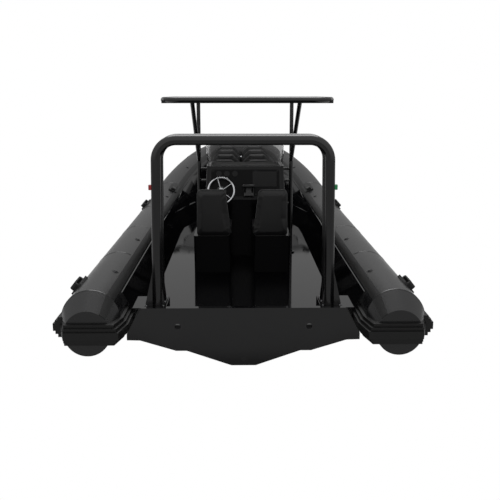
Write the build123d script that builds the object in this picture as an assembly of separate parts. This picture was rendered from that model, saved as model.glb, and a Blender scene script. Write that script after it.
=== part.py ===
from build123d import *
from math import atan2, cos, radians, sin, sqrt
import os

# Rigid inflatable boat, nine metres long, with a glossy deep-V hull, an inflated collar,
# an aft double hoop, a centre console under a T-top and four rows of passenger pods.
# Millimetres. +Y is the bow, +X is starboard and z = 0 is the flat of the keel. While the
# pieces are drawn, y is the distance forward of the collar's aft end discs.

# Collar
TUBE_R = 250
TUBE_X = 1292
TUBE_Z = 520
CONE_LENGTH = 190
DISC_R = 193
DISC_Z = 449
BEND_Y = 5000
SHOULDER = (800, 7950, 1065)
SHOULDER_HEADING = (-0.34, 1, 0.22)
BOW = (0, 8765, 1260)

# Rubbing strake: three steps, each a height and the depth it stands off the collar. It lies
# below the tube's middle, in line with the end disc.
STRAKE_STEPS = ((176, 34), (120, 56), (64, 76))
STRAKE_DROP = 71
WRAP_OUTER = 1475
WRAP_TAPER = 400

# Wear strip on the tube's inboard shoulder, as angles above level
STRIP_ARC = (38, 57)
STRIP_THICK = 6

# Hull, transom and deck
TRANSOM_Y = 450
TRANSOM_THICK = 60
TRANSOM_TOP = 534
TRANSOM_TOP_HALF = 905
DECK_Z = 360
STEP_Z = 600
STEP_Y = 6900
WELL_FLARE = 0.58
FOREDECK_Z = 1110
FOREDECK_Y = 7600
SCUPPER_X = 584
SCUPPER_R = 32.5
DRAIN_Z = 60
DRAIN_R = 24

# Sections of the hull. The columns are the station, then the half-breadth and height of the
# keel flat, the lower strake's inner and outer edge, the chine's inner and outer edge and
# the gunwale.
HULL_SECTIONS = (
    (510, (109, 0), (507, 139), (602, 139), (920, 237), (1037, 240), (1096, 665)),
    (3300, (109, 0), (507, 139), (602, 139), (920, 237), (1037, 240), (1096, 665)),
    (4000, (109, 0), (507, 139), (602, 139), (920, 237), (1037, 240), (1096, 665)),
    (4800, (107, 1), (505, 145), (600, 146), (918, 246), (1037, 250), (1096, 665)),
    (5650, (98, 8), (490, 172), (580, 175), (892, 281), (1008, 294), (1073, 701)),
    (6500, (76, 40), (430, 235), (510, 241), (802, 422), (908, 442), (972, 855)),
    (7250, (48, 130), (320, 350), (380, 365), (655, 602), (750, 630), (812, 1045)),
    (7950, (26, 340), (215, 560), (258, 585), (458, 785), (540, 820), (604, 1205)),
    (8640, (8, 985), (28, 1005), (34, 1010), (56, 1035), (68, 1045), (88, 1345)),
)
# Plans of the cockpit's floors, as half-breadth and station. The walls flare outwards.
WELLS = (
    (DECK_Z, ((895, 510), (895, 4900), (879, 5400), (660, 6350), (465, STEP_Y))),
    (STEP_Z, ((1018, 5400), (844, 6350), (661, STEP_Y), (382, 7660))),
)

# Plinths under the hoops: inner half-breadth, ends and top
PLINTH_X = 690
PLINTH_ENDS = (500, 900)
PLINTH_Z = 520

# Bow locker
LOCKER_Y = 7985
LOCKER_WIDTH = 440
LOCKER_LENGTH = 330
LOCKER_DEPTH = 190
LID_THICK = 24
LID_GAP = 5

# Aft hoops
HOOP_OD = 88
HOOP_HALF = 750
HOOP_FOOT_HALF = 770
HOOP_TOP = 1996
HOOP_BEND = 175
HOOP_STATIONS = (570, 780)
TIE_HEIGHTS = (760, 1260, 1740)
PLATE_X = 792
PLATE_WIDTH = 185
FOOT_THICK = 14
# Gussets beside each leg: the half-breadth of the toe and the height
GUSSETS = ((878, 850), (708, 720))
GUSSET_THICK = 10

# Centre console and T-top, which stand a little to starboard
CONSOLE_X = 45
CONSOLE_HALF = 490
CONSOLE_FOOT_HALF = 520
CONSOLE_AFT = 3330
CONSOLE_TOP = 1500
WHEEL_X = CONSOLE_X - 300
WHEEL_Z = 1190
WHEEL_R = 172
CANOPY_X = 60
CANOPY_HALF = 950
CANOPY_AFT = 2200
CANOPY_FORE = 3850
CANOPY_TOP = 2350
CANOPY_CORNER = 260
CANOPY_OD = 60
LEG_OD = 48
LEG_X = 585
FRONT_LEG_Y = 3600
AFT_LEG_Y = 2330
LEG_JOIN_Z = 1560
SCREEN_HALF = 505
SCREEN_TOP = 1790
SCREEN_THICK = 8

# Console sections from the deck up: height, half-breadth, aft edge and fore edge
CONSOLE_SECTIONS = (
    (DECK_Z, CONSOLE_FOOT_HALF, 3420, 4110),
    (1090, 498, CONSOLE_AFT, 4080),
    (CONSOLE_TOP, CONSOLE_HALF - 6, 3420, 4030),
)
CONSOLE_CORNER = 60
CONSOLE_WALL = 14
DOOR_SIZE = (300, 480)
DOOR_Y = 3820
DOOR_Z = 760
DASH_THICK = 12
WHEEL_STANDOFF = 105
WHEEL_RIM = 24
WHEEL_SPOKE = 13
WHEEL_DISH = 26
WHEEL_FIRST_SPOKE = 34
THROTTLE_X = CONSOLE_X + 40
BRACKET_OD = 34
BRACKET_HEIGHTS = (1300, 1450)
# Hinges: knuckle radius, reach of the pin's axis from the panel, and places along the pin
KNUCKLE_R = 8
DOOR_HINGE_REACH = 13
DOOR_HINGES = (-150, 150)
LID_HINGE_RISE = 16
LID_HINGE_REACH = 13
LID_HINGES = (-120, 120)
# Screen sections from its skirt up: height, half-breadth, aft edge and fore edge
SCREEN_SECTIONS = (
    (CONSOLE_TOP, 470, 3300, 4010),
    (1900, SCREEN_HALF + 15, 3300, 3890),
)
SCREEN_CORNER = 170
SCREEN_AFT = 3560
SKIN_THICK = 8
SKIN_RISE = 12

# Handles: size, finger room, and places as distance along the collar and rise above level
HANDLE_SIZE = (300, 140, 56)
HANDLE_GRIP = 26
HANDLE_PLACES = ((530, 38), (5300, 42), (6090, 118))
TIE_OD = 50
LIGHT_Z = 1590
POST_Y = 8260

# Seats
HELM_WIDTH = 440
HELM_TOP_HALF = 155
HELM_SEAT_Z = 800
CUSHION_THICK = 110
BACK_THICK = 110
SEAT_ROUND = 40
POD_WIDTH = 420
POD_LENGTH = 560
POD_SEAT_Z = 830
POD_TOP_HALF = 108
POD_SHOULDER = 120
HELM_SHOULDER = 340
HELM_SEAT_X = 342
HELM_SEAT_Y = 2500
HELM_BACK_TOP = 1330
POD_X = 234
POD_ROWS = (4270, 5190, 6110, 7050)
POD_BACK_TOP = 1510


def both_sides(shape):
    """The shape and its mirror image across the centreline."""
    return Compound(children=[shape, mirror(shape, about=Plane.YZ)])


def save(name, shape):
    """Write one node with the origin under the middle of the boat."""
    moved = shape.moved(to_middle)
    moved.label = name
    export_step(moved, f"parts/{name}.step")


def two_arcs(start, heading, end, end_heading):
    """Two tangent arcs that leave start along heading and reach end along end_heading."""
    p0, p1 = Vector(*start), Vector(*end)
    t0, t1 = Vector(*heading).normalized(), Vector(*end_heading).normalized()
    chord, turn = p1 - p0, t0 + t1
    a = turn.dot(turn) - 4
    b = -2 * chord.dot(turn)
    reach = (-b - sqrt(b * b - 4 * a * chord.dot(chord))) / (2 * a)
    q0, q1 = p0 + t0 * reach, p1 - t1 * reach
    middle = (q0 + q1) / 2
    return [TangentArc((p0, middle), tangent=t0), TangentArc((middle, p1), tangent=q1 - q0)]


def start_plane(path):
    """A plane square to the path's start, with its x axis level."""
    return Plane(origin=path @ 0, x_dir=(1, 0, 0), z_dir=path % 0)


def tube(points, diameter, bend=None):
    """A round tube through the points, with its corners bent to one radius."""
    line = Polyline(*points) if bend is None else FilletPolyline(*points, radius=bend)
    path = Wire(line.edges())
    return sweep(Plane(origin=path @ 0, z_dir=path % 0) * Circle(diameter / 2), path=path)


def block(width, length, height, x, y, z, round_off=0):
    """A box centred on x, with its aft face at y and its underside at z."""
    solid = Pos(x, y + length / 2, z + height / 2) * Box(width, length, height)
    return fillet(solid.edges(), round_off) if round_off else solid


def side_profile(points, width, x):
    """A solid of one width from a profile given as station and height."""
    face = make_face(Polyline(*[(0, y, z) for y, z in points], close=True))
    return Pos(x, 0, 0) * extrude(face, amount=width / 2, dir=(1, 0, 0), both=True)


# Collar: a straight side run, then tangent arcs that draw in and climb to the bow

SIDE_START = (TUBE_X, CONE_LENGTH, TUBE_Z)
SIDE_END = (TUBE_X, BEND_Y, TUBE_Z)
side_path = Wire([Line(SIDE_START, SIDE_END)])
bow_arcs = two_arcs(SIDE_END, (0, 1, 0), SHOULDER, SHOULDER_HEADING)
bow_arcs += two_arcs(SHOULDER, SHOULDER_HEADING, BOW, (-1, 0, 0))
bow_path = Wire(bow_arcs)
whole_path = Wire([Line(SIDE_START, SIDE_END)] + bow_arcs)


def cone(extra):
    """The skewed cone from the side tube's start to the end disc, grown by a thickness."""
    disc = Plane(origin=(TUBE_X, 0, DISC_Z), z_dir=(0, 1, 0)) * Circle(DISC_R + extra)
    shoulder = Plane(origin=SIDE_START, z_dir=(0, 1, 0)) * Circle(TUBE_R + extra)
    return loft([disc, shoulder])


def collar():
    """Side tube, bow tube and end cone, as starboard solids."""
    side = sweep(start_plane(side_path) * Circle(TUBE_R), path=side_path)
    bow = sweep(start_plane(bow_path) * Circle(TUBE_R), path=bow_path)
    return side, bow, cone(0)


def strake_section():
    """The stepped section of the rubbing strake, standing off the collar."""
    steps = [
        Pos(TUBE_R + depth - 60, STRAKE_DROP) * Rectangle(120, height)
        for height, depth in STRAKE_STEPS
    ]
    return (steps[0] + steps[1] + steps[2]) - Circle(TUBE_R)


def strake_wrap(tube_side, end):
    """The strake's turn round the end cone, from the side run in to the transom."""
    solid = None
    run_end = TRANSOM_Y + TRANSOM_THICK
    inboard = TUBE_X - TUBE_R + 10
    for height, depth in STRAKE_STEPS:
        outline = Polyline(
            (TUBE_X + TUBE_R + depth, WRAP_TAPER),
            (WRAP_OUTER, -depth),
            (TUBE_X - DISC_R - depth, -depth),
            (inboard - depth, CONE_LENGTH),
            (inboard - depth, run_end),
            (inboard + 60, run_end),
            (inboard + 60, CONE_LENGTH),
            (TUBE_X, CONE_LENGTH / 2),
            (TUBE_X + TUBE_R - 60, CONE_LENGTH),
            (TUBE_X + TUBE_R - 60, WRAP_TAPER),
            close=True,
        )
        layer = Pos(0, 0, DISC_Z) * extrude(make_face(outline), amount=height / 2, both=True)
        solid = layer if solid is None else solid + layer
    return solid - tube_side - end


def sector(radius, inner):
    """The part of a ring on the tube's inboard shoulder that the wear strip takes."""
    low, high = STRIP_ARC
    corners = [(0, 0)]
    corners += [(-2 * radius * cos(radians(a)), -2 * radius * sin(radians(a))) for a in (low, high)]
    return (Circle(radius) - Circle(inner)) & make_face(Polyline(*corners, close=True))


def wear_strip():
    """The strip along the tube, and its patch over the end cone."""
    run = sweep(start_plane(whole_path) * sector(TUBE_R + STRIP_THICK, TUBE_R), path=whole_path)
    sides = []
    for y, x, z, radius in ((0, TUBE_X, DISC_Z, DISC_R), (CONE_LENGTH, TUBE_X, TUBE_Z, TUBE_R)):
        rays = [
            (x - 2 * radius * cos(radians(a)), y, z + 2 * radius * sin(radians(a)))
            for a in STRIP_ARC
        ]
        sides.append(make_face(Polyline((x, y, z), *rays, close=True)))
    patch = (cone(STRIP_THICK) - cone(0)) & loft(sides, ruled=True)
    return run + patch


# Hull: straight to the shoulder, then lofted up to the stem

def hull_section(row):
    """One closed section of the hull, both sides of the keel."""
    station, *half = row
    right = [(x, station, z) for x, z in half]
    left = [(-x, station, z) for x, z in reversed(half)]
    return make_face(Polyline(*right, *left, close=True))


def well(plan, floor):
    """The space above a floor, inside a plan given for one side, with flaring walls."""
    outlines = []
    for rise in (0, 900):
        right = [(x + rise * WELL_FLARE, y, floor + rise) for x, y in plan]
        left = [(-x, y, z) for x, y, z in reversed(right)]
        outlines.append(make_face(Polyline(*right, *left, close=True)))
    return loft(outlines, ruled=True)


def plinths():
    """The raised corners of the aft deck that the hoops stand on."""
    aft, fore = PLINTH_ENDS
    width = TUBE_X - PLINTH_X
    return both_sides(block(width, fore - aft, PLINTH_Z, PLINTH_X + width / 2, aft, 0))


def hull(tubes):
    """The moulding with its strakes and chines, cut by the collar, cockpit and locker."""
    sections = [hull_section(row) for row in HULL_SECTIONS]
    aft = loft(sections[:2])
    fore = loft(sections[1:])
    body = aft + fore
    for piece in tubes:
        body -= piece
        body -= mirror(piece, about=Plane.YZ)
    aft_well, fore_well = [well(plan, floor) for floor, plan in WELLS]
    body -= aft_well - plinths()
    body -= fore_well
    above = Pos(0, FOREDECK_Y + 600, FOREDECK_Z + 500) * Box(1700, 1200, 1000)
    body -= above
    body -= block(
        LOCKER_WIDTH - 60, LOCKER_LENGTH - 60, LOCKER_DEPTH,
        0, LOCKER_Y - LOCKER_LENGTH / 2 + 30, FOREDECK_Z - LOCKER_DEPTH,
    )
    return body


def transom(cutters):
    """The board across the stern, with two scuppers and a drain."""
    half = list(HULL_SECTIONS[0][1:6])
    half += [(1037, 300), (TRANSOM_TOP_HALF, TRANSOM_TOP)]
    right = [(x, TRANSOM_Y, z) for x, z in half]
    left = [(-x, TRANSOM_Y, z) for x, z in reversed(half)]
    outline = make_face(Polyline(*right, *left, close=True))
    board = extrude(outline, amount=TRANSOM_THICK, dir=(0, 1, 0))
    for piece in cutters:
        board -= piece
        board -= mirror(piece, about=Plane.YZ)
    holes = ((SCUPPER_X, DECK_Z + 4, SCUPPER_R), (-SCUPPER_X, DECK_Z + 4, SCUPPER_R))
    holes += ((0, DRAIN_Z, DRAIN_R),)
    for x, z, radius in holes:
        board -= Pos(x, TRANSOM_Y, z) * Rot(90, 0, 0) * Cylinder(radius, 4 * TRANSOM_THICK)
    return board


# Grab handles moulded on the collar

def on_collar(distance, rise):
    """A plane on the collar's skin, x along the tube, z straight out of it."""
    centre = whole_path.position_at(distance, PositionMode.LENGTH)
    along = whole_path.tangent_at(distance, PositionMode.LENGTH)
    level = along.cross(Vector(0, 0, 1)).normalized()
    upright = level.cross(along).normalized()
    outward = level * cos(radians(rise)) + upright * sin(radians(rise))
    return Plane(origin=centre + outward * TUBE_R, x_dir=along, z_dir=outward)


def grab_handle():
    """One bridge handle on its pad, trimmed to the round of the tube."""
    length, width, height = HANDLE_SIZE
    pad = Pos(0, 0, -8) * extrude(RectangleRounded(length, width, 40), amount=24)
    bridge = Pos(0, 0, height / 2 - 10) * Box(length - 60, width / 2, height + 20)
    bridge = fillet(bridge.edges().filter_by(Axis.Y).group_by(Axis.Z)[-1], 28)
    grip = Pos(0, 0, 16 + HANDLE_GRIP / 2) * Box(length - 130, width, HANDLE_GRIP)
    return pad + bridge - grip


def handles(tubes):
    """The starboard handles, at the distances and rises in the table."""
    solids = []
    for distance, rise in HANDLE_PLACES:
        solid = on_collar(distance, rise) * grab_handle()
        for piece in tubes:
            solid -= piece
        solids.append(solid)
    return Compound(children=solids)


# Aft hoops with their ties, feet and lights

def leg_x(z):
    """The half-breadth of the hoops' legs at a height."""
    foot = PLINTH_Z + FOOT_THICK
    return HOOP_FOOT_HALF + (HOOP_HALF - HOOP_FOOT_HALF) * (z - foot) / (HOOP_TOP - foot)


def hoop(station):
    """One inverted U of tube standing on its feet."""
    foot = PLINTH_Z + FOOT_THICK
    points = [(-HOOP_FOOT_HALF, station, foot), (-HOOP_HALF, station, HOOP_TOP)]
    points += [(HOOP_HALF, station, HOOP_TOP), (HOOP_FOOT_HALF, station, foot)]
    solid = tube(points, HOOP_OD, HOOP_BEND)
    return solid - block(4 * PLATE_X, 400, 100, 0, station - 200, foot - 100)


def hoop_ties(hoops):
    """Short tubes that join the two hoops, three on each side."""
    aft, fore = HOOP_STATIONS
    solids = []
    for height in TIE_HEIGHTS:
        tie = tube([(leg_x(height), aft, height), (leg_x(height), fore, height)], TIE_OD)
        for solid in hoops:
            tie -= solid
        solids.append(tie)
    return both_sides(Compound(children=solids))


def hoop_feet(hoops):
    """A plate under each side's legs, with gussets in and out of each leg."""
    aft, fore = HOOP_STATIONS
    foot = PLINTH_Z + FOOT_THICK
    solid = block(PLATE_WIDTH, fore - aft + 120, FOOT_THICK, PLATE_X, aft - 50, PLINTH_Z, 0)
    for station in HOOP_STATIONS:
        for toe, height in GUSSETS:
            skin = leg_x(height) + (HOOP_OD / 2 - 4 if toe > leg_x(foot) else 4 - HOOP_OD / 2)
            points = [(leg_x(foot), foot), (toe, foot), (skin, height), (leg_x(height), height)]
            face = make_face(Polyline(*[(x, station, z) for x, z in points], close=True))
            solid += extrude(face, amount=GUSSET_THICK / 2, dir=(0, 1, 0), both=True)
    for leg in hoops:
        solid -= leg
    return both_sides(solid)


def navigation_light():
    """The starboard side light, fixed to the outside of the aft hoop."""
    outer = leg_x(LIGHT_Z) + HOOP_OD / 2
    lamp = block(34, 36, 46, outer + 5, HOOP_STATIONS[0] - 18, LIGHT_Z - 23)
    return fillet(lamp.edges(), 6) - hoop(HOOP_STATIONS[0])


# Centre console

def console_form(inset):
    """The console's outer form, or its hollow when inset."""
    sections = []
    for z, half, aft, fore in CONSOLE_SECTIONS:
        width, length = 2 * (half - inset), fore - aft - 2 * inset
        outline = RectangleRounded(width, length, CONSOLE_CORNER - inset)
        shift = inset if z == CONSOLE_TOP else 0
        sections.append(Pos(CONSOLE_X, (aft + fore) / 2, z - shift) * outline)
    return loft(sections, ruled=True)


def console_door_blank(gap):
    """The slab that is the side door, or its opening when a gap is given."""
    width, height = DOOR_SIZE
    slab = Box(120, width + 2 * gap, height + 2 * gap)
    return Pos(CONSOLE_X + CONSOLE_HALF, DOOR_Y, DOOR_Z) * slab


def knuckle(place, length, side, reach):
    """One knuckle with its leaf, on a panel whose face is x = 0 and whose pin runs along z."""
    barrel = Pos(reach, 0, place) * Cylinder(KNUCKLE_R, length)
    leaf = Pos(1.5, side * 25, place) * Box(7, 42, length)
    riser = Pos(reach / 2, side * 10, place) * Box(reach, 12, length)
    return barrel + leaf + riser


def hinge(places, side, reach, moving):
    """The moving or the fixed knuckles of a pair of hinges, 5 mm apart along the pin."""
    rows = [(z, 36) for z in places]
    if not moving:
        rows = [(z + shift, 22) for z in places for shift in (-34, 34)]
    solid = None
    for place, length in rows:
        piece = knuckle(place, length, side, reach)
        solid = piece if solid is None else solid + piece
    return solid


def door_hinge_plane():
    """The console's side at the door's fore edge, x outwards and z up the slope."""
    low, high = CONSOLE_SECTIONS[0], CONSOLE_SECTIONS[1]
    slope = (high[1] - low[1]) / (high[0] - low[0])
    x = CONSOLE_X + low[1] + (DOOR_Z - low[0]) * slope
    y = DOOR_Y + DOOR_SIZE[0] / 2 + LID_GAP / 2
    return Plane(origin=(x, y, DOOR_Z), x_dir=(1, 0, -slope), z_dir=(slope, 0, 1))


def console_shell():
    """The housing before its door is cut, open to the deck below."""
    return console_form(0) - console_form(CONSOLE_WALL)


def console():
    """A thin-walled housing with its side door's opening and the hinges' fixed leaves."""
    solid = console_shell() - console_door_blank(LID_GAP)
    return solid + door_hinge_plane() * hinge(DOOR_HINGES, 1, DOOR_HINGE_REACH, False)


def console_door():
    """The panel of the console's side inside the door's outline, with its knuckles."""
    panel = console_shell() & console_door_blank(0)
    return panel + door_hinge_plane() * hinge(DOOR_HINGES, -1, DOOR_HINGE_REACH, True)


def dash_plane(x, z):
    """A plane on the dash, y up the slope and z out towards the helm."""
    low, high = CONSOLE_SECTIONS[1], CONSOLE_SECTIONS[2]
    slope = (high[2] - low[2]) / (high[0] - low[0])
    y = low[2] + (z - low[0]) * slope
    rake = atan2(high[2] - low[2], high[0] - low[0])
    return Plane(origin=(x, y, z), x_dir=(1, 0, 0), z_dir=(0, -cos(rake), sin(rake)))


def dash_panel():
    """The instrument panel, laid on the dash."""
    middle = (CONSOLE_SECTIONS[1][0] + CONSOLE_TOP) / 2
    outline = RectangleRounded(2 * CONSOLE_HALF - 130, 330, 30)
    return dash_plane(CONSOLE_X, middle) * extrude(outline, amount=DASH_THICK)


def wheel_plane():
    """A plane through the steering wheel, z along its shaft towards the helm."""
    seat = dash_plane(WHEEL_X, WHEEL_Z)
    return Plane(origin=seat.origin + seat.z_dir * WHEEL_STANDOFF,
                 x_dir=(1, 0, 0), z_dir=seat.z_dir)


def steering_wheel():
    """A round rim on five dished spokes."""
    rim_r = WHEEL_R - WHEEL_RIM / 2
    solid = Torus(rim_r, WHEEL_RIM / 2) + Pos(0, 0, -WHEEL_DISH) * Cylinder(38, 24)
    for turn in range(5):
        spoke = tube([(30, 0, -WHEEL_DISH), (rim_r, 0, 0)], WHEEL_SPOKE)
        solid += Rot(0, 0, WHEEL_FIRST_SPOKE + 72 * turn) * spoke
    return wheel_plane() * solid


def steering_hub():
    """The helm pump's boss between the dash and the wheel."""
    base = dash_plane(WHEEL_X, WHEEL_Z)
    boss = Pos(0, 0, DASH_THICK + 9) * Cylinder(62, 18)
    reach = WHEEL_STANDOFF - WHEEL_DISH - 12 - 5
    shaft = Pos(0, 0, (DASH_THICK + 18 + reach) / 2) * Cylinder(26, reach - DASH_THICK - 18)
    return base * (boss + shaft)


def throttle():
    """A binnacle with two levers joined by a grip."""
    body = Pos(0, 0, DASH_THICK + 35) * Box(130, 150, 70)
    solid = fillet(body.edges().group_by(Axis.Z)[-1], 20)
    for x in (-45, 45):
        solid += tube([(x, -20, DASH_THICK + 60), (x, 50, DASH_THICK + 170)], 22)
    solid += tube([(-75, 50, DASH_THICK + 170), (75, 50, DASH_THICK + 170)], 34)
    return dash_plane(THROTTLE_X, WHEEL_Z) * solid


def windscreen_form(inset):
    """The raked form that the screen wraps, or its hollow when inset."""
    sections = []
    for z, half, aft, fore in SCREEN_SECTIONS:
        width, length = 2 * (half - inset), fore - aft - 2 * inset
        outline = RectangleRounded(width, length, SCREEN_CORNER - inset)
        sections.append(Pos(CONSOLE_X, (aft + fore) / 2, z) * outline)
    return loft(sections, ruled=True)


def windscreen():
    """A clear screen round the front and sides, cut down towards the helm."""
    shell = windscreen_form(0) - windscreen_form(SCREEN_THICK)
    open_aft = block(2 * SCREEN_HALF + 100, 500, 1000, CONSOLE_X, SCREEN_AFT - 500, 1300)
    top = side_profile(
        [(SCREEN_AFT - 100, SCREEN_TOP - 190), (SCREEN_AFT - 100, 2200), (4400, 2200),
         (4400, SCREEN_TOP + 60), (3900, SCREEN_TOP)],
        2 * SCREEN_HALF + 100, CONSOLE_X,
    )
    return shell - open_aft - top


def leg_brackets(legs):
    """Short stays from the console's sides to the T-top's front legs."""
    solids = []
    for side in (-1, 1):
        for z in BRACKET_HEIGHTS:
            ends = [(CONSOLE_X + side * x, FRONT_LEG_Y, z) for x in (CONSOLE_HALF - 40, LEG_X)]
            stay = tube(ends, BRACKET_OD) - console_form(0)
            for leg in legs:
                stay -= leg
            solids.append(stay)
    return Compound(children=solids)


# T-top

def canopy_outline(inset):
    """The canopy's plan, a rounded rectangle."""
    width, length = 2 * (CANOPY_HALF - inset), CANOPY_FORE - CANOPY_AFT - 2 * inset
    outline = RectangleRounded(width, length, CANOPY_CORNER - inset)
    return Pos(CANOPY_X, (CANOPY_AFT + CANOPY_FORE) / 2, CANOPY_TOP - CANOPY_OD / 2) * outline


def canopy_rim():
    """The tube round the canopy's edge."""
    path = canopy_outline(CANOPY_OD / 2).face().outer_wire()
    section = Plane(origin=path @ 0, z_dir=path % 0) * Circle(CANOPY_OD / 2)
    return sweep(section, path=path)


def canopy_skin(rim):
    """The flat panel stretched inside the rim."""
    panel = extrude(canopy_outline(CANOPY_OD / 2), amount=SKIN_THICK)
    return Pos(0, 0, SKIN_RISE) * panel - rim


def canopy_bars(rim):
    """Cross tubes under the panel, over the aft and front legs."""
    z = CANOPY_TOP - CANOPY_OD / 2 + SKIN_RISE - LEG_OD / 2
    solids = []
    for station in (AFT_LEG_Y, FRONT_LEG_Y):
        ends = [(CANOPY_X + x, station, z) for x in (20 - CANOPY_HALF, CANOPY_HALF - 20)]
        solids.append(tube(ends, LEG_OD) - rim)
    return Compound(children=solids)


def canopy_legs(side, bars):
    """The upright front leg and the raked aft leg of one side."""
    x = CONSOLE_X + side * LEG_X
    under = CANOPY_TOP - CANOPY_OD / 2 + SKIN_RISE - LEG_OD / 2
    front = tube([(x, FRONT_LEG_Y, DECK_Z + FOOT_THICK), (x, FRONT_LEG_Y, under)], LEG_OD)
    foot = Pos(x, FRONT_LEG_Y, DECK_Z + FOOT_THICK / 2) * Cylinder(55, FOOT_THICK)
    aft = tube([(x, FRONT_LEG_Y, LEG_JOIN_Z), (x, AFT_LEG_Y, under)], LEG_OD)
    bar_solids = bars.solids()
    aft = aft - front - bar_solids[0]
    return front + foot - bar_solids[1], aft


# Seats

def seat_back(half_top, half_low, low, top, thick, shoulder):
    """A back standing on its lower edge, front face at y = 0, drawn in above its shoulder."""
    half = [(half_low, low), (half_low * 0.98, top - shoulder), (half_top, top)]
    points = [(x, 0, z) for x, z in half] + [(-x, 0, z) for x, z in reversed(half)]
    solid = extrude(make_face(Polyline(*points, close=True)), amount=thick, dir=(0, -1, 0))
    upright = solid.edges().filter_by(Axis.Y)
    return fillet(upright.group_by(Axis.Z)[-1], SEAT_ROUND)


def helm_seats():
    """Bases, cushions and backs of the two helm seats."""
    bases, cushions, backs = [], [], []
    for x in (-HELM_SEAT_X, HELM_SEAT_X):
        front, aft, seat = HELM_SEAT_Y + 520, HELM_SEAT_Y - 60, HELM_SEAT_Z
        profile = [(aft + 60, DECK_Z), (aft, seat), (front, seat), (front - 80, DECK_Z)]
        base = side_profile(profile, HELM_WIDTH - 20, x)
        bases.append(fillet(base.edges().filter_by(Axis.Z, tolerance=15), 30))
        cushions.append(block(HELM_WIDTH, 510, CUSHION_THICK, x, HELM_SEAT_Y + 20, seat, 30))
        size = (HELM_TOP_HALF, HELM_WIDTH / 2, seat, HELM_BACK_TOP, BACK_THICK)
        back = seat_back(*size, HELM_SHOULDER)
        backs.append(Pos(x, HELM_SEAT_Y + 10, 0) * back)
    return [Compound(children=solids) for solids in (bases, cushions, backs)]


def pod_row(row):
    """Bases, cushions and backs of one row of passenger pods."""
    station = POD_ROWS[row]
    floor = STEP_Z if station > STEP_Y else DECK_Z
    bases, cushions, backs = [], [], []
    for x in (-POD_X, POD_X):
        aft, front, seat = station - BACK_THICK, station + POD_LENGTH, POD_SEAT_Z
        profile = [(aft + 40, floor), (aft, seat), (front, seat), (front - 90, floor)]
        base = side_profile(profile, POD_WIDTH - 30, x)
        bases.append(fillet(base.edges().filter_by(Axis.Z, tolerance=25), 40))
        cushions.append(block(POD_WIDTH, POD_LENGTH - 20, CUSHION_THICK, x, station + 10, seat, 30))
        size = (POD_TOP_HALF, POD_WIDTH / 2 + 15, seat, POD_BACK_TOP, BACK_THICK)
        back = seat_back(*size, POD_SHOULDER)
        backs.append(Pos(x, station, 0) * back)
    return bases, cushions, backs


# Foredeck and transom fittings

def lid_hinge_plane():
    """The lid's fore edge, x up from the lid's hinge line and z across the boat."""
    y = LOCKER_Y + LOCKER_LENGTH / 2 + LID_HINGE_REACH
    return Plane(origin=(0, y, FOREDECK_Z), x_dir=(0, 0, 1), z_dir=(-1, 0, 0))


def lid_hinge(moving):
    """The knuckles on the lid, or the ones on the foredeck."""
    solid = None
    side = -1 if moving else 1
    rows = [(x, 36) for x in LID_HINGES]
    if not moving:
        rows = [(x + shift, 22) for x in LID_HINGES for shift in (-34, 34)]
    low = LID_GAP + 4 if moving else 0
    for place, length in rows:
        barrel = Pos(LID_HINGE_RISE, 0, place) * Cylinder(KNUCKLE_R, length)
        riser = Pos((low + 20) / 2, side * 12, place) * Box(20 - low, 24, length)
        solid = barrel + riser if solid is None else solid + barrel + riser
    return lid_hinge_plane() * solid


def locker_lid():
    """The lid over the bow locker, with a rolled edge and its hinges' knuckles."""
    z = FOREDECK_Z + LID_GAP
    lid = block(LOCKER_WIDTH, LOCKER_LENGTH, LID_THICK, 0, LOCKER_Y - LOCKER_LENGTH / 2, z)
    lid = fillet(lid.edges().filter_by(Axis.Z), 40)
    return fillet(lid.edges().group_by(Axis.Z)[-1], 8) + lid_hinge(True)


def bow_post():
    """Two posts and a crossbar on a plate, for the painter."""
    solid = Pos(0, POST_Y, FOREDECK_Z) * extrude(RectangleRounded(150, 90, 20), amount=8)
    for x in (-40, 40):
        solid += Pos(x, POST_Y, FOREDECK_Z + 78) * Cylinder(16, 150)
    bar = Pos(0, POST_Y, FOREDECK_Z + 110) * Rot(0, 90, 0) * Cylinder(9, 180)
    return solid + bar


def transom_fittings():
    """Liners flush in the scuppers and a plug flush in the drain."""
    solids = []
    for x in (-SCUPPER_X, SCUPPER_X):
        ring = Cylinder(SCUPPER_R, TRANSOM_THICK) - Cylinder(SCUPPER_R - 6, 2 * TRANSOM_THICK)
        solids.append(Pos(x, TRANSOM_Y + TRANSOM_THICK / 2, DECK_Z + 4) * Rot(90, 0, 0) * ring)
    solids.append(Pos(0, TRANSOM_Y + 16, DRAIN_Z) * Rot(90, 0, 0) * Cylinder(DRAIN_R, 28))
    return Compound(children=solids)


# Write the nodes

side_tube, bow_tube, end_cone = collar()
tubes = (side_tube, bow_tube, end_cone)
strake_line = sweep(start_plane(whole_path) * strake_section(), path=whole_path)
strake = strake_line + strake_wrap(side_tube, end_cone)

to_middle = Location((0, -strake.bounding_box().center().Y, 0))
print("origin at station", strake.bounding_box().center().Y)

save("hull", hull(tubes))
strip = wear_strip()
save("transom", transom((*tubes, strake)))
starboard_nodes = (
    ("collar_side", side_tube),
    ("collar_bow", bow_tube),
    ("collar_cone", end_cone),
    ("rubbing_strake", strake),
    ("wear_strip", strip),
    ("grab_handles", handles((*tubes[:2], strip))),
    ("navigation_light", navigation_light()),
)
for node, solid in starboard_nodes:
    save(f"{node}_starboard", solid)
    save(f"{node}_port", mirror(solid, about=Plane.YZ))

hoops = [hoop(station) for station in HOOP_STATIONS]
save("hoop_aft", hoops[0])
save("hoop_fore", hoops[1])
save("hoop_ties", hoop_ties(hoops))
save("hoop_feet", hoop_feet(hoops))

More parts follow.
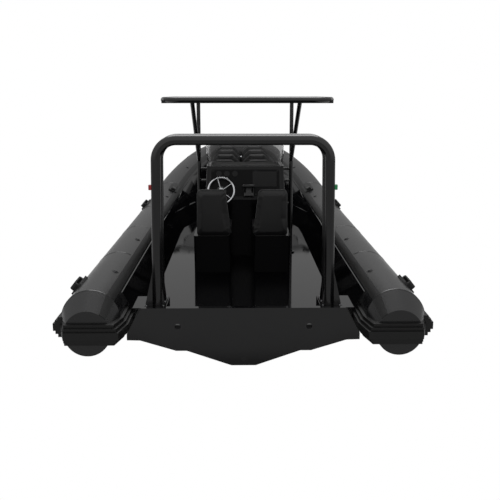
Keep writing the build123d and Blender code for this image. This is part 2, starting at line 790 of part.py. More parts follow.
save("console", console())
save("console_door", console_door())
save("dash_panel", dash_panel())
save("steering_hub", steering_hub())
save("steering_wheel", steering_wheel())
save("throttle", throttle())
save("windscreen", windscreen())

rim = canopy_rim()
bars = canopy_bars(rim)
save("canopy_rim", rim)
save("canopy_skin", canopy_skin(rim))
save("canopy_bars", bars)
legs = []
for side, name in ((1, "starboard"), (-1, "port")):
    front_leg, aft_leg = canopy_legs(side, bars)
    save(f"canopy_front_leg_{name}", front_leg)
    save(f"canopy_aft_leg_{name}", aft_leg)
    legs.append(front_leg)
save("leg_brackets", leg_brackets(legs))

for node, solid in zip(("helm_seat_bases", "helm_seat_cushions", "helm_seat_backs"), helm_seats()):
    save(node, solid)
pod_cushions, pod_backs = {-1: [], 1: []}, {-1: [], 1: []}
for row in range(len(POD_ROWS)):
    bases, cushions, backs = pod_row(row)
    save(f"pod_bases_row_{row + 1}", Compound(children=bases))
    for side, index in ((-1, 0), (1, 1)):
        pod_cushions[side].append(cushions[index])
        pod_backs[side].append(backs[index])
for side, name in ((1, "starboard"), (-1, "port")):
    save(f"pod_cushions_{name}", Compound(children=pod_cushions[side]))
    save(f"pod_backs_{name}", Compound(children=pod_backs[side]))

save("locker_lid", locker_lid())
save("locker_hinges", lid_hinge(False))
save("bow_post", bow_post())
save("transom_fittings", transom_fittings())
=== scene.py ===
import math
import bmesh
import bpy
from mathutils import Matrix, Vector
from mathutils.kdtree import KDTree


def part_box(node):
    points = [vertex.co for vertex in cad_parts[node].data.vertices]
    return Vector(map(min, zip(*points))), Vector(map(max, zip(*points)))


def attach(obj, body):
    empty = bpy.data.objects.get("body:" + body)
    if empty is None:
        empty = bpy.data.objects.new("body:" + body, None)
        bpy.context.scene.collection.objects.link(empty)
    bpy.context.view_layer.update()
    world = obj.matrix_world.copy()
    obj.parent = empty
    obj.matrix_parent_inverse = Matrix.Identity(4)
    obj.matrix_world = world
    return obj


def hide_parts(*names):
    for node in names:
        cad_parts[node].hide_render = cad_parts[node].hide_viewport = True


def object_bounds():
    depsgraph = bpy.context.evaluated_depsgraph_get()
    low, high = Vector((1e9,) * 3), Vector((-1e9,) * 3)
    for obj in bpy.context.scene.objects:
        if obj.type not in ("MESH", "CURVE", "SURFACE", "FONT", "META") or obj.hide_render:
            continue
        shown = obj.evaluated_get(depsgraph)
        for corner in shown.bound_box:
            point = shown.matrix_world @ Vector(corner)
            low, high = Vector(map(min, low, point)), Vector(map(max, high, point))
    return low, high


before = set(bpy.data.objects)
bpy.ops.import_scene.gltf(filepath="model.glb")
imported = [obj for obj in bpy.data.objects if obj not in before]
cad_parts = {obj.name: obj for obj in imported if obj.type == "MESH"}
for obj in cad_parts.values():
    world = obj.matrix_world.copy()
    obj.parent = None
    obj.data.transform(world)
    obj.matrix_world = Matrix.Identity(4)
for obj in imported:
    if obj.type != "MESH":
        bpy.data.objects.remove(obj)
cad_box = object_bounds()

# Whole boat
# Nine metres of rigid inflatable, drawn in metres with +Y to the bow and z = 0 at the keel.
# A station is the distance forward of the collar's aft end discs, as the builder measures.
COLLAR_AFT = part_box("collar_cone_port")[0].y


def at_station(x, station, z):
    """A point of the boat from its station."""
    return Vector((x, COLLAR_AFT + station, z))


def linear(hex_colour):
    """An sRGB hex colour as linear red, green, blue and alpha."""
    channels = [int(hex_colour[i:i + 2], 16) / 255 for i in (1, 3, 5)]
    return [c / 12.92 if c <= 0.04045 else ((c + 0.055) / 1.055) ** 2.4 for c in channels] + [1.0]


def add(tree, kind, inputs=None, **settings):
    """One node with its settings, and its inputs as values or as links from other sockets."""
    new = tree.nodes.new(kind)
    for key, value in settings.items():
        setattr(new, key, value)
    for key, value in (inputs or {}).items():
        if isinstance(value, bpy.types.NodeSocket):
            tree.links.new(value, new.inputs[key])
        else:
            new.inputs[key].default_value = value
    return new


MOTTLE_SCALE = 7.0
GRAIN_STRENGTH = 0.5


def finish(name, colour, roughness, grain_mm=1.0, grain_depth=0.0, mottle=0.0, **shader):
    """A finish with a fine grain in its surface and a slight mottle in its gloss."""
    material = bpy.data.materials.new(name)
    material.use_nodes = True
    tree = material.node_tree
    tree.nodes.clear()
    place = add(tree, "ShaderNodeTexCoord").outputs["Object"]
    inputs = {"Base Color": linear(colour), "Roughness": roughness}
    inputs.update({key.replace("_", " "): value for key, value in shader.items()})
    if mottle:
        cloud = add(tree, "ShaderNodeTexNoise",
                    {"Vector": place, "Scale": MOTTLE_SCALE, "Detail": 3.0})
        inputs["Roughness"] = add(
            tree, "ShaderNodeMapRange",
            {"Value": cloud.outputs[0], "To Min": roughness - mottle,
             "To Max": roughness + mottle},
        ).outputs[0]
    if grain_depth:
        grain = add(tree, "ShaderNodeTexNoise",
                    {"Vector": place, "Scale": 1000.0 / grain_mm, "Detail": 2.0})
        inputs["Normal"] = add(
            tree, "ShaderNodeBump",
            {"Height": grain.outputs[0], "Strength": GRAIN_STRENGTH,
             "Distance": grain_depth / 1000},
        ).outputs[0]
    surface = add(tree, "ShaderNodeBsdfPrincipled", inputs)
    add(tree, "ShaderNodeOutputMaterial", {"Surface": surface.outputs[0]})
    return material


def dress(material, *nodes):
    """Give CAD nodes their finish."""
    for name in nodes:
        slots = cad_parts[name].data.materials
        slots.clear()
        slots.append(material)


SIDES = (("port", -1), ("starboard", 1))


def piece(name, form, material, body="boat", smooth=True):
    """A finished mesh object from a bmesh, dressed and riding on its body."""
    bmesh.ops.recalc_face_normals(form, faces=form.faces)
    mesh = bpy.data.meshes.new(name)
    form.to_mesh(mesh)
    form.free()
    for polygon in mesh.polygons:
        polygon.use_smooth = smooth
    mesh.materials.append(material)
    thing = bpy.data.objects.new(name, mesh)
    bpy.context.collection.objects.link(thing)
    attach(thing, body)
    return thing


def two_arcs(start, heading, end, end_heading, step):
    """Points along two tangent arcs that leave start along heading and reach end."""
    t0, t1 = heading.normalized(), end_heading.normalized()
    chord, turn = end - start, t0 + t1
    a, b = turn.dot(turn) - 4, -2 * chord.dot(turn)
    reach = (-b - math.sqrt(b * b - 4 * a * chord.dot(chord))) / (2 * a)
    q0, q1 = start + t0 * reach, end - t1 * reach
    middle = (q0 + q1) / 2
    return arc(start, t0, middle, step) + arc(middle, q1 - q0, end, step)


def arc(start, heading, end, step):
    """Points along the arc that leaves start along heading, the first left out."""
    chord = end - start
    tangent = heading.normalized()
    turn = tangent.angle(chord)
    axis = tangent.cross(chord).normalized()
    centre = start + axis.cross(tangent) * (chord.length / (2 * math.sin(turn)))
    count = max(2, round(chord.length / step))
    return [
        centre + Matrix.Rotation(2 * turn * i / count, 3, axis) @ (start - centre)
        for i in range(1, count + 1)
    ]


def tube_along(form, points, radius, sides=8, loop=False):
    """A round cord through points, joined up when it is a loop."""
    count = len(points)
    rings = []
    side = None
    for i, point in enumerate(points):
        before = points[i - 1] if loop or i else point
        after = points[(i + 1) % count] if loop or i < count - 1 else point
        ahead = (after - before).normalized()
        if side is None:
            side = ahead.orthogonal().normalized()
        side = (side - ahead * side.dot(ahead)).normalized()
        up = ahead.cross(side)
        rings.append([
            form.verts.new(point + radius * (side * math.cos(t) + up * math.sin(t)))
            for t in (2 * math.pi * j / sides for j in range(sides))
        ])
    pairs = list(zip(rings, rings[1:]))
    if loop:
        pairs.append((rings[-1], rings[0]))
    for ring, following in pairs:
        for j in range(sides):
            k = (j + 1) % sides
            form.faces.new((ring[j], ring[k], following[k], following[j]))
    if not loop:
        form.faces.new(rings[0])
        form.faces.new(rings[-1])


def disc(form, place, axis, radius, height, sides=24, top=None):
    """A short cylinder or cone standing on place along axis."""
    turn = Vector((0, 0, 1)).rotation_difference(Vector(axis)).to_matrix().to_4x4()
    bmesh.ops.create_cone(
        form, cap_ends=True, segments=sides, radius1=radius,
        radius2=radius if top is None else top, depth=height,
        matrix=Matrix.Translation(place) @ turn @ Matrix.Translation((0, 0, height / 2)))


# Hull and transom
# A glass-fibre moulding in black gelcoat, laid up in a polished mould, so that it is as
# glossy as a wet surface and shows broad soft reflections. The transom board is part of it.
gelcoat = finish("black_gelcoat", "#050506", 0.06, mottle=0.02)
dress(gelcoat, "hull", "transom")

# Collar
# Air chambers of coated fabric, glued at taped seams, satin and slightly soft in outline.
# The cloth's weave is finer than the render shows, so its grain is drawn at 3 mm.
collar_fabric = finish("satin_coated_fabric", "#0e0e0f", 0.24, grain_mm=3.0, grain_depth=0.06,
                       mottle=0.04)
for side, _ in SIDES:
    dress(collar_fabric, f"collar_side_{side}", f"collar_bow_{side}", f"collar_cone_{side}")

# Rubbing strakes, wear strips and grab handles
# Extruded and moulded rubber glued to the collar, a shade blacker than the fabric.
strake_rubber = finish("ribbed_rubber", "#0a0a0a", 0.4, grain_mm=2.0, grain_depth=0.08,
                       Specular_IOR_Level=0.3)
for side, _ in SIDES:
    dress(strake_rubber, f"rubbing_strake_{side}", f"grab_handles_{side}", f"wear_strip_{side}")

# Chamber seams and valves
# Tapes cover the joins between the collar's chambers, and each chamber has its valve.
TUBE_R, TUBE_X, TUBE_Z = 0.250, 1.292, 0.520
SIDE_LINE = (0.19, 5.0)
SHOULDER, SHOULDER_HEADING = (0.8, 7.95, 1.065), Vector((-0.34, 1, 0.22))
BOW = (0, 8.765, 1.26)
bend = at_station(TUBE_X, SIDE_LINE[1], TUBE_Z)
shoulder = at_station(*SHOULDER)
LINE_STEP = 0.05
SIDE_STEPS = 97
collar_line = [
    at_station(TUBE_X, SIDE_LINE[0] + LINE_STEP * i, TUBE_Z) for i in range(SIDE_STEPS)
]
collar_line += two_arcs(bend, Vector((0, 1, 0)), shoulder, SHOULDER_HEADING, LINE_STEP)
collar_line += two_arcs(
    shoulder, SHOULDER_HEADING, at_station(*BOW), Vector((-1, 0, 0)), LINE_STEP)
# Distances along the collar, and the arc that a tape covers, in degrees above level outboard
CHAMBER_JOINS = (0.02, 1.55, 3.1, 4.78, 6.3, 7.8)
TAPE_WIDTH, TAPE_THICK, TAPE_LIFT = 0.045, 0.0015, 0.0003
TAPE_FROM, TAPE_ARC, TAPE_STEPS = 8, 112, 40


def along_collar(distance):
    """A point of the collar's middle line and its level frame: ahead, across and up."""
    for i in range(1, len(collar_line)):
        run = (collar_line[i] - collar_line[i - 1]).length
        if distance <= run or i == len(collar_line) - 1:
            following = collar_line[min(i + 1, len(collar_line) - 1)]
            ahead = (following - collar_line[i - 1]).normalized()
            across = ahead.cross(Vector((0, 0, 1))).normalized()
            place = collar_line[i - 1].lerp(collar_line[i], min(distance / run, 1))
            return place, ahead, across, across.cross(ahead).normalized()
        distance -= run


def mirrored(form, sign):
    """Flip a starboard form to port when the sign asks for it."""
    if sign < 0:
        bmesh.ops.scale(form, vec=(-1, 1, 1), verts=form.verts)


for side, sign in SIDES:
    tapes = bmesh.new()
    for join in CHAMBER_JOINS:
        place, ahead, across, up = along_collar(join)
        rows = []
        for shift, lift in ((-0.5, 0.0), (-0.47, 1.0), (0.47, 1.0), (0.5, 0.0)):
            middle = place + ahead * shift * TAPE_WIDTH
            reach = TUBE_R + TAPE_LIFT + lift * TAPE_THICK
            rows.append([
                tapes.verts.new(middle + reach * (across * math.cos(t) + up * math.sin(t)))
                for t in (math.radians(TAPE_FROM + i * TAPE_ARC / TAPE_STEPS)
                          for i in range(TAPE_STEPS + 1))
            ])
        for row, following in zip(rows, rows[1:]):
            for i in range(TAPE_STEPS):
                tapes.faces.new((row[i], row[i + 1], following[i + 1], following[i]))
    mirrored(tapes, sign)
    piece(f"chamber_tapes_{side}", tapes, collar_fabric)

# Each valve is a flange let into the fabric, with a cap on it.
valve_cap = finish("valve_cap", "#202022", 0.35, grain_mm=1.0, grain_depth=0.03)
VALVES = (0.75, 2.3, 3.9, 5.6, 7.1)
VALVE_RISE = 112
VALVE_SUNK = 0.004
for side, sign in SIDES:
    valves = bmesh.new()
    for distance in VALVES:
        place, ahead, across, up = along_collar(distance)
        t = math.radians(VALVE_RISE)
        outward = across * math.cos(t) + up * math.sin(t)
        foot = place + outward * (TUBE_R - VALVE_SUNK)
        disc(valves, foot, outward, 0.032, 0.007, 32, 0.030)
        disc(valves, foot + outward * 0.006, outward, 0.021, 0.009, 12, 0.018)
    mirrored(valves, sign)
    piece(f"valves_{side}", valves, valve_cap, smooth=False)

# Aft hoops and T-top frame
# Bent aluminium tube, powder-coated gloss black.
powder_coat = finish("gloss_powder_coat", "#070708", 0.2, grain_mm=1.2, grain_depth=0.02)
dress(powder_coat, "hoop_aft", "hoop_fore", "hoop_ties", "hoop_feet", "canopy_rim", "canopy_bars",
      "leg_brackets")
for side, _ in SIDES:
    dress(powder_coat, f"canopy_front_leg_{side}", f"canopy_aft_leg_{side}")

# Side lights
# Moulded lenses, red to port and green to starboard.
red_lens = finish("red_lens", "#8c1414", 0.15, Coat_Weight=0.5)
green_lens = finish("green_lens", "#0c7a44", 0.15, Coat_Weight=0.5)
dress(red_lens, "navigation_light_port")
dress(green_lens, "navigation_light_starboard")

# Console, lids and seat bases
# Glass-fibre mouldings in a duller black than the hull's, with a finely textured panel.
dash_plastic = finish("textured_dash", "#060607", 0.3, grain_mm=1.5, grain_depth=0.05,
                      Specular_IOR_Level=0.1)
dull_gelcoat = finish("dull_gelcoat", "#040405", 0.15, mottle=0.03, Specular_IOR_Level=0.2)
dress(dull_gelcoat, "console", "console_door", "helm_seat_bases")
dress(dull_gelcoat, *[f"pod_bases_row_{row}" for row in range(1, 5)])
dress(gelcoat, "locker_lid")
dress(dash_plastic, "dash_panel")
control_plastic = finish("control_housing", "#0a0a0b", 0.25)
dress(control_plastic, "steering_hub", "throttle", "transom_fittings")

# Bright fittings
# Polished stainless steel: the wheel, the hinges, the bow post and the deck bolts.
stainless = finish("polished_stainless", "#c9cacc", 0.16, Metallic=1.0)
dress(stainless, "steering_wheel", "bow_post", "locker_hinges")

# Windscreen
# Clear acrylic sheet, bent hot round the console.
acrylic = finish("clear_acrylic", "#e6e6e6", 0.02, Transmission_Weight=1.0, IOR=1.49)
dress(acrylic, "windscreen")

# Instruments
# Plain dials, a display and switches set in the panel, with screws that hold the panel down.
DASH_TILT = math.atan2(90, 410)
DASH_HALF_THICK = 0.006
OUT = Vector((0, -math.cos(DASH_TILT), math.sin(DASH_TILT)))
dash_low, dash_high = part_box("dash_panel")
glass_black = finish("display_glass", "#040405", 0.25, Specular_IOR_Level=0.2)


def on_dash(x, slope_up, lift=0.0):
    """A point on the instrument panel: distance from its middle, up its slope, and off it."""
    middle = Vector(((dash_low.x + dash_high.x) / 2, (dash_low.y + dash_high.y) / 2,
                     (dash_low.z + dash_high.z) / 2))
    up = Vector((0, math.sin(DASH_TILT), math.cos(DASH_TILT)))
    return middle + Vector((x, 0, 0)) + up * slope_up + OUT * (DASH_HALF_THICK + lift)


DIALS, DIALS_UP = (-0.33, -0.23, -0.13), 0.112
SWITCHES, SWITCHES_UP = (0.18, 0.24, 0.30, 0.36), -0.105
instruments = bmesh.new()
for x in DIALS:
    disc(instruments, on_dash(x, DIALS_UP), OUT, 0.040, 0.006, 40, 0.037)
    disc(instruments, on_dash(x, DIALS_UP, 0.006), OUT, 0.033, 0.001, 40)
for x in SWITCHES:
    disc(instruments, on_dash(x, SWITCHES_UP), OUT, 0.016, 0.005, 24, 0.014)
    disc(instruments, on_dash(x, SWITCHES_UP, 0.005), OUT, 0.009, 0.006, 16, 0.007)
piece("dials_and_switches", instruments, glass_black, smooth=False)
# The display's case and its glass: width, height, thickness and how far off the panel
DISPLAY_PLACE = (0.24, 0.045)
DISPLAY_LAYERS = ((0.30, 0.19, 0.010, 0.0), (0.27, 0.155, 0.0015, 0.010))
display = bmesh.new()
for width, height, thick, lift in DISPLAY_LAYERS:
    bmesh.ops.create_cube(display, size=1.0, matrix=Matrix.Translation(
        on_dash(*DISPLAY_PLACE, lift + thick / 2)) @ Matrix.Rotation(-DASH_TILT, 4, "X")
        @ Matrix.Diagonal((width, thick, height, 1)))
piece("chart_display", display, glass_black, smooth=False)
SCREWS_ACROSS, SCREWS_UP = (-0.40, -0.13, 0.13, 0.40), 0.147
screws = bmesh.new()
for x in SCREWS_ACROSS:
    for slope_up in (-SCREWS_UP, SCREWS_UP):
        disc(screws, on_dash(x, slope_up), OUT, 0.006, 0.003, 6)
piece("dash_screws", screws, control_plastic, smooth=False)

# Deck bolts
# Three pairs hold each plate under the hoops and four hold the foot of each front leg of the
# T-top.
FOOT_THICK = 0.014
PLATE_BOLTS, PLATE_MARGIN = (0.716, 0.868), 0.02
LEG_BOLTS, LEG_CIRCLE = 4, 0.042
UPWARD = (0, 0, 1)
bolts = bmesh.new()
for side, sign in SIDES:
    low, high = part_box("hoop_feet")
    for y in (low.y + PLATE_MARGIN, (low.y + high.y) / 2, high.y - PLATE_MARGIN):
        for x in PLATE_BOLTS:
            disc(bolts, (sign * x, y, low.z + FOOT_THICK), UPWARD, 0.009, 0.007, 6)
for side, _ in SIDES:
    low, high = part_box(f"canopy_front_leg_{side}")
    for turn in range(LEG_BOLTS):
        t = math.radians(45 + 360 / LEG_BOLTS * turn)
        middle = (low + high) / 2
        x = middle.x + LEG_CIRCLE * math.cos(t)
        y = middle.y + LEG_CIRCLE * math.sin(t)
        disc(bolts, (x, y, low.z + FOOT_THICK), UPWARD, 0.006, 0.006, 6)
piece("bolts", bolts, stainless, smooth=False)

# Console top
# A matt, finely textured mat inside the screen, so that the top doesn't dazzle the helm.
mat_rubber = finish("antiglare_mat", "#0a0a0a", 0.8, grain_mm=2.0, grain_depth=0.15,
                    Specular_IOR_Level=0.2)
low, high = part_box("console")
MAT_AFT, MAT_FORE, MAT_HALF, MAT_THICK, MAT_CHAMFER = 3.48, 3.99, 0.435, 0.003, 0.05
CONSOLE_X = 0.045
mat = bmesh.new()
right = [(MAT_HALF, MAT_AFT), (MAT_HALF, MAT_FORE - MAT_CHAMFER)]
right.append((MAT_HALF - MAT_CHAMFER, MAT_FORE))
corners = right + [(-x, station) for x, station in reversed(right)]
outline = [at_station(CONSOLE_X + x, station, high.z) for x, station in corners]
rings = [[mat.verts.new(point + Vector((0, 0, z))) for point in outline] for z in (0, MAT_THICK)]
for i in range(len(outline)):
    k = (i + 1) % len(outline)
    mat.faces.new((rings[0][i], rings[0][k], rings[1][k], rings[1][i]))
mat.faces.new(rings[0])
mat.faces.new(rings[1])
piece("console_mat", mat, mat_rubber, smooth=False)

# Canopy skin
# Black woven canvas, laced tight inside the rim, sagging a little between the cross tubes.
canvas = finish("woven_canvas", "#121214", 0.75, grain_mm=2.0, grain_depth=0.2, Sheen_Weight=0.15)
low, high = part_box("canopy_skin")
size = high - low
GRID = 60
CORNER = 0.225
EDGE_GAP = 0.004
SAG = 0.006
CANVAS_THICK = 0.0022
skin = bmesh.new()
rows = []
for j in range(GRID + 1):
    row = []
    for i in range(GRID + 1):
        u, v = 2 * i / GRID - 1, 2 * j / GRID - 1
        half_x, half_y = size.x / 2 - EDGE_GAP, size.y / 2 - EDGE_GAP
        x, y = u * half_x, v * half_y
        over_x, over_y = abs(x) - (half_x - CORNER), abs(y) - (half_y - CORNER)
        if over_x > 0 and over_y > 0:
            pull = max(over_x, over_y) / math.hypot(over_x, over_y)
            x = math.copysign(half_x - CORNER + over_x * pull, x)
            y = math.copysign(half_y - CORNER + over_y * pull, y)
        between_bars = 0.5 - 0.5 * math.cos(2 * math.pi * (v + 1))
        sag = SAG * (1 - u * u) * (1 - v ** 4) * between_bars
        middle = (low + high) / 2
        row.append(skin.verts.new((middle.x + x, middle.y + y, high.z - sag)))
    rows.append(row)
for row, following in zip(rows, rows[1:]):
    for i in range(GRID):
        skin.faces.new((row[i], row[i + 1], following[i + 1], following[i]))
canopy = piece("canopy_sheet", skin, canvas)
thicken = canopy.modifiers.new("thickness", "SOLIDIFY")
thicken.thickness = CANVAS_THICK
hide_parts("canopy_skin")

# Seats
# Foam under satin black vinyl, in panels joined by a welted seam round the front and the
# back of each pad. Each kind is blown up once by cloth simulation and then copied.
vinyl = finish("satin_vinyl", "#0a0a0b", 0.32, grain_mm=2.5, grain_depth=0.08, mottle=0.04,
               Specular_IOR_Level=0.35)
VOXEL = 0.009
SEAM_IN = 0.017
BASE_SHRINK = 0.006
PRESSURE = 4.0
LAST_FRAME = 20
PIN_REACH = 0.008
WELT_R = 0.0042
CORNER_STEPS = 6


def round_corners(corners, radius, step=0.012):
    """A closed outline through corners with each one rounded, as evenly spaced points."""
    points = []
    count = len(corners)
    for i, corner in enumerate(corners):
        before = (corners[i - 1] - corner).normalized()
        after = (corners[(i + 1) % count] - corner).normalized()
        half = before.angle(after) / 2
        cut = min(radius / math.tan(half), 0.45 * (corners[i - 1] - corner).length,
                  0.45 * (corners[(i + 1) % count] - corner).length)
        real = cut * math.tan(half)
        centre = corner + (before + after).normalized() * (real / math.sin(half))
        first, final = corner + before * cut - centre, corner + after * cut - centre
        turn = first.angle(final)
        for k in range(CORNER_STEPS + 1):
            share = k / CORNER_STEPS
            blend = first * math.sin(turn * (1 - share)) + final * math.sin(turn * share)
            points.append(centre + blend / math.sin(turn))
    out = []
    for i, point in enumerate(points):
        following = points[(i + 1) % len(points)]
        pieces = max(1, round((following - point).length / step))
        out += [point.lerp(following, k / pieces) for k in range(pieces)]
    return out


def blown(name, outline, thick, cap, pin_far):
    """A pad from its outline in x and z, lying from y = 0 to its thickness, blown up by cloth
    simulation with its seams pinned. Its far face stays flat when pin_far is set."""
    middle = sum(outline, Vector()) / len(outline)
    layers = ((0.0, 0.010), (0.005, 0.003), (SEAM_IN, 0.0), (thick - SEAM_IN, 0.0),
              (thick - 0.005, 0.003), (thick, 0.010))
    form = bmesh.new()
    rings = []
    for depth, inset in layers:
        ring = []
        for point in outline:
            inward = (middle - point).normalized()
            placed = point + inward * (inset + BASE_SHRINK)
            ring.append(form.verts.new((placed.x, depth, placed.z)))
        rings.append(ring)
    count = len(outline)
    for ring, following in zip(rings, rings[1:]):
        for i in range(count):
            k = (i + 1) % count
            form.faces.new((ring[i], ring[k], following[k], following[i]))
    form.faces.new(rings[0])
    form.faces.new(rings[-1])
    bmesh.ops.recalc_face_normals(form, faces=form.faces)
    mesh = bpy.data.meshes.new(name)
    form.to_mesh(mesh)
    form.free()
    work = bpy.data.objects.new(name, mesh)
    bpy.context.collection.objects.link(work)
    remesh = work.modifiers.new("remesh", "REMESH")
    remesh.mode = "VOXEL"
    remesh.voxel_size = VOXEL
    graph = bpy.context.evaluated_depsgraph_get()
    even = bpy.data.meshes.new_from_object(work.evaluated_get(graph))
    work.modifiers.clear()
    work.data = even
    seams = KDTree(2 * count)
    for i, point in enumerate(outline):
        placed = point + (middle - point).normalized() * BASE_SHRINK
        seams.insert((placed.x, SEAM_IN, placed.z), i)
        seams.insert((placed.x, thick - SEAM_IN, placed.z), count + i)
    seams.balance()
    rest = [vertex.co.copy() for vertex in even.vertices]
    pins = work.vertex_groups.new(name="pins")
    held = [i for i, co in enumerate(rest)
            if seams.find(co)[2] < PIN_REACH or (pin_far and co.y > thick - 0.003)]
    pins.add(held, 1.0, "REPLACE")
    cloth = work.modifiers.new("cloth", "CLOTH")
    cloth.settings.vertex_group_mass = "pins"
    cloth.settings.use_pressure = True
    cloth.settings.uniform_pressure_force = PRESSURE
    cloth.settings.effector_weights.gravity = 0.0
    cloth.point_cache.frame_start = 1
    cloth.point_cache.frame_end = LAST_FRAME
    for frame_number in range(1, LAST_FRAME + 1):
        bpy.context.scene.frame_set(frame_number)
    puffed = work.evaluated_get(bpy.context.evaluated_depsgraph_get()).data
    moved = [vertex.co.copy() for vertex in puffed.vertices]
    work.modifiers.clear()
    for vertex, start, end in zip(even.vertices, rest, moved):
        shift = end - start
        reach = cap if shift.length > cap else shift.length
        vertex.co = start + (shift.normalized() * reach if shift.length > 1e-6 else shift)
    bpy.context.scene.frame_set(1)
    bpy.data.objects.remove(work)
    for polygon in even.polygons:
        polygon.use_smooth = True
    even.materials.clear()
    even.materials.append(vinyl)
    return even


def pad_outline(corners, radius):
    """An outline of evenly spaced points from corners given as x and z."""
    return round_corners([Vector((x, 0, z)) for x, z in corners], radius)


def welts(form, outline, thick, place):
    """The two welted seams of a pad."""
    middle = sum(outline, Vector()) / len(outline)
    for depth in (SEAM_IN, thick - SEAM_IN):
        loop = []
        for point in outline:
            placed = point + (middle - point).normalized() * BASE_SHRINK
            loop.append(place @ Vector((placed.x, depth, placed.z)))
        tube_along(form, loop, WELT_R, 8, loop=True)


def pad(name, mesh, outline, thick, place, node):
    """One copy of a blown pad with its welts, standing for its CAD node."""
    copy = mesh.copy()
    copy.transform(place)
    thing = bpy.data.objects.new(name, copy)
    bpy.context.collection.objects.link(thing)
    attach(thing, "boat")
    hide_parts(node)
    seam = bmesh.new()
    welts(seam, outline, thick, place)
    piece(f"{name}_welts", seam, piping)


piping = finish("vinyl_piping", "#0e0e0f", 0.35, grain_mm=2.0, grain_depth=0.05)
THICK = 0.110
LIE_FLAT = Matrix.Rotation(math.radians(-90), 4, "X")
ABOUT = Matrix.Rotation(math.pi, 4, "Z")


def back_corners(low_half, top_half, height, below_top):
    """The corners of a seat back, from its foot up, drawn in above its shoulders."""
    wide = low_half * 0.98
    return [(low_half, 0), (wide, height - below_top), (top_half, height), (-top_half, height),
            (-wide, height - below_top), (-low_half, 0)]


# Corners of each kind in x and z, with a helm seat's inner side at +x, then the radius of the
# corners, the cap on the blowing up, and whether the far face stays flat
HELM_DEPTH, POD_DEPTH = 0.51, 0.54
HELM_IN, HELM_OUT, POD_HALF = 0.22, 0.172, 0.21
helm_back = [(HELM_IN, 0), (0.155, 0.53), (-0.168, 0.53), (-HELM_OUT, 0)]
helm_cushion = [(HELM_IN, 0), (HELM_IN, HELM_DEPTH), (-HELM_OUT, HELM_DEPTH), (-HELM_OUT, 0)]
pod_cushion = [(POD_HALF, 0), (POD_HALF, POD_DEPTH), (-POD_HALF, POD_DEPTH), (-POD_HALF, 0)]
kinds = {
    "helm_back": (pad_outline(helm_back, 0.045), 0.010, False),
    "pod_back": (pad_outline(back_corners(0.225, 0.108, 0.680, 0.120), 0.045), 0.010, False),
    "helm_cushion": (pad_outline(helm_cushion, 0.05), 0.014, True),
    "pod_cushion": (pad_outline(pod_cushion, 0.05), 0.014, True),
}
blown_kinds = {
    kind: blown(kind, outline, THICK, cap, pin_far)
    for kind, (outline, cap, pin_far) in kinds.items()
}


def seat_row(kind, node, names, centres, foot, aft):
    """Pads of one kind side by side. A back stands up, a cushion lies down, and a helm seat
    to starboard is turned about so that its inner side faces the middle."""
    outline = kinds[kind][0]
    for name, x in zip(names, centres):
        if kind == "helm_back" and x > 0:
            place = Matrix.Translation((x, aft + THICK, foot)) @ ABOUT
        elif kind.endswith("back"):
            place = Matrix.Translation((x, aft, foot))
        elif kind == "helm_cushion" and x > 0:
            place = Matrix.Translation((x, aft + HELM_DEPTH, foot + THICK)) @ ABOUT @ LIE_FLAT
        else:
            place = Matrix.Translation((x, aft, foot + THICK)) @ LIE_FLAT
        pad(name, blown_kinds[kind], outline, THICK, place, node(x))


low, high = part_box("helm_seat_backs")
HELM_X = (high.x - low.x) / 2 - HELM_IN
seat_row("helm_back", lambda x: "helm_seat_backs", ("helm_back_port", "helm_back_starboard"),
         (-HELM_X, HELM_X), low.z, low.y)
low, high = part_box("helm_seat_cushions")
seat_row("helm_cushion", lambda x: "helm_seat_cushions",
         ("helm_cushion_port", "helm_cushion_starboard"), (-HELM_X, HELM_X), low.z, low.y)
POD_X = 0.234
back_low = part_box("pod_backs_port")[0]
cushion_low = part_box("pod_cushions_port")[0]
ROW_STATIONS = (4.27, 5.19, 6.11, 7.05)


def pod_node(part):
    """The CAD node of a pod's part, from the side that x is on."""
    return lambda x: f"pod_{part}_port" if x < 0 else f"pod_{part}_starboard"


for number, station in enumerate(ROW_STATIONS, 1):
    shift = station - ROW_STATIONS[0]
    names = (f"pod_back_port_{number}", f"pod_back_starboard_{number}")
    seat_row("pod_back", pod_node("backs"), names, (-POD_X, POD_X), back_low.z, back_low.y + shift)
    names = (f"pod_cushion_port_{number}", f"pod_cushion_starboard_{number}")
    seat_row("pod_cushion", pod_node("cushions"), names, (-POD_X, POD_X), cushion_low.z,
             cushion_low.y + shift)

# Studio
# A white floor just under the keel, a white surround and soft overhead light.
FLOOR_DROP = 0.002
FLOOR_HALF = 60
floor_form = bmesh.new()
bmesh.ops.create_grid(floor_form, x_segments=1, y_segments=1, size=FLOOR_HALF)
floor_mesh = bpy.data.meshes.new("floor")
floor_form.to_mesh(floor_mesh)
floor_form.free()
floor_mesh.transform(Matrix.Translation((0, 0, cad_box[0][2] - FLOOR_DROP)))
floor = bpy.data.objects.new("floor", floor_mesh)
bpy.context.collection.objects.link(floor)
paper = bpy.data.materials.new("white_paper")
paper.use_nodes = True
tree = paper.node_tree
tree.nodes.clear()
matte = add(tree, "ShaderNodeBsdfDiffuse", {"Color": linear("#b4b4b4")})
white = add(tree, "ShaderNodeEmission", {"Color": (1, 1, 1, 1), "Strength": 1.0})
seen = add(tree, "ShaderNodeLightPath")
blend = add(tree, "ShaderNodeMixShader",
            {0: seen.outputs["Is Camera Ray"], 1: matte.outputs[0], 2: white.outputs[0]})
add(tree, "ShaderNodeOutputMaterial", {"Surface": blend.outputs[0]})
floor_mesh.materials.append(paper)

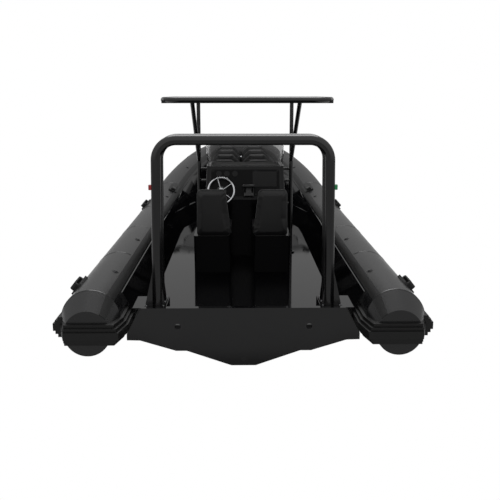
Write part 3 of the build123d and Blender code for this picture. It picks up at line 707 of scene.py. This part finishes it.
# The surround is white to the camera. What the boat reflects is bright astern and overhead,
# and dim ahead, near the horizon.
WORLD_DIM, WORLD_BRIGHT = 0.33, 1.0
world = bpy.data.worlds.new("surround")
bpy.context.scene.world = world
world.use_nodes = True
tree = world.node_tree
tree.nodes.clear()
seen = add(tree, "ShaderNodeLightPath")
toward = add(tree, "ShaderNodeTexCoord").outputs["Generated"]
lean = add(tree, "ShaderNodeVectorMath", {0: toward, 1: (0, -0.6, 0.8)}, operation="DOT_PRODUCT")
level = add(tree, "ShaderNodeMapRange",
            {"Value": lean.outputs["Value"], "From Min": -0.4, "From Max": 0.8,
             "To Min": WORLD_DIM, "To Max": WORLD_BRIGHT})
dim = add(tree, "ShaderNodeBackground", {"Color": (1, 1, 1, 1), "Strength": level.outputs[0]})
full = add(tree, "ShaderNodeBackground", {"Color": (1, 1, 1, 1), "Strength": 1.0})
blend = add(tree, "ShaderNodeMixShader",
            {0: seen.outputs["Is Camera Ray"], 1: dim.outputs[0], 2: full.outputs[0]})
add(tree, "ShaderNodeOutputWorld", {"Surface": blend.outputs[0]})


def softbox(name, place, aim, size, watts):
    """A square area lamp at a place, turned to face a point."""
    lamp = bpy.data.lights.new(name, "AREA")
    lamp.size = size
    lamp.energy = watts
    holder = bpy.data.objects.new(name, lamp)
    holder.location = place
    holder.rotation_euler = (Vector(aim) - Vector(place)).to_track_quat("-Z", "Y").to_euler()
    bpy.context.collection.objects.link(holder)


softbox("overhead", place=(0, 1.5, 8), aim=(0, 0, 0), size=7, watts=500)

# Camera
# Astern and above, looking forward along the boat, as in the photograph.
CAMERA_ASTERN = 5.80
CAMERA_HEIGHT = 2.385
CAMERA_SIDE = -0.040
CAMERA_PITCH = 11.99
CAMERA_YAW = 0.894
LENS_PX = 736.1
SENSOR_MM = 36
PHOTO_PX = 500
camera = bpy.data.cameras.new("camera")
camera.sensor_width = SENSOR_MM
camera.lens = LENS_PX / PHOTO_PX * SENSOR_MM
tripod = bpy.data.objects.new("camera", camera)
tripod.location = at_station(CAMERA_SIDE, -CAMERA_ASTERN, CAMERA_HEIGHT)
tripod.rotation_euler = (math.radians(90 - CAMERA_PITCH), 0, math.radians(-CAMERA_YAW))
bpy.context.collection.objects.link(tripod)
bpy.context.scene.camera = tripod
bpy.context.scene.view_settings.view_transform = "Standard"
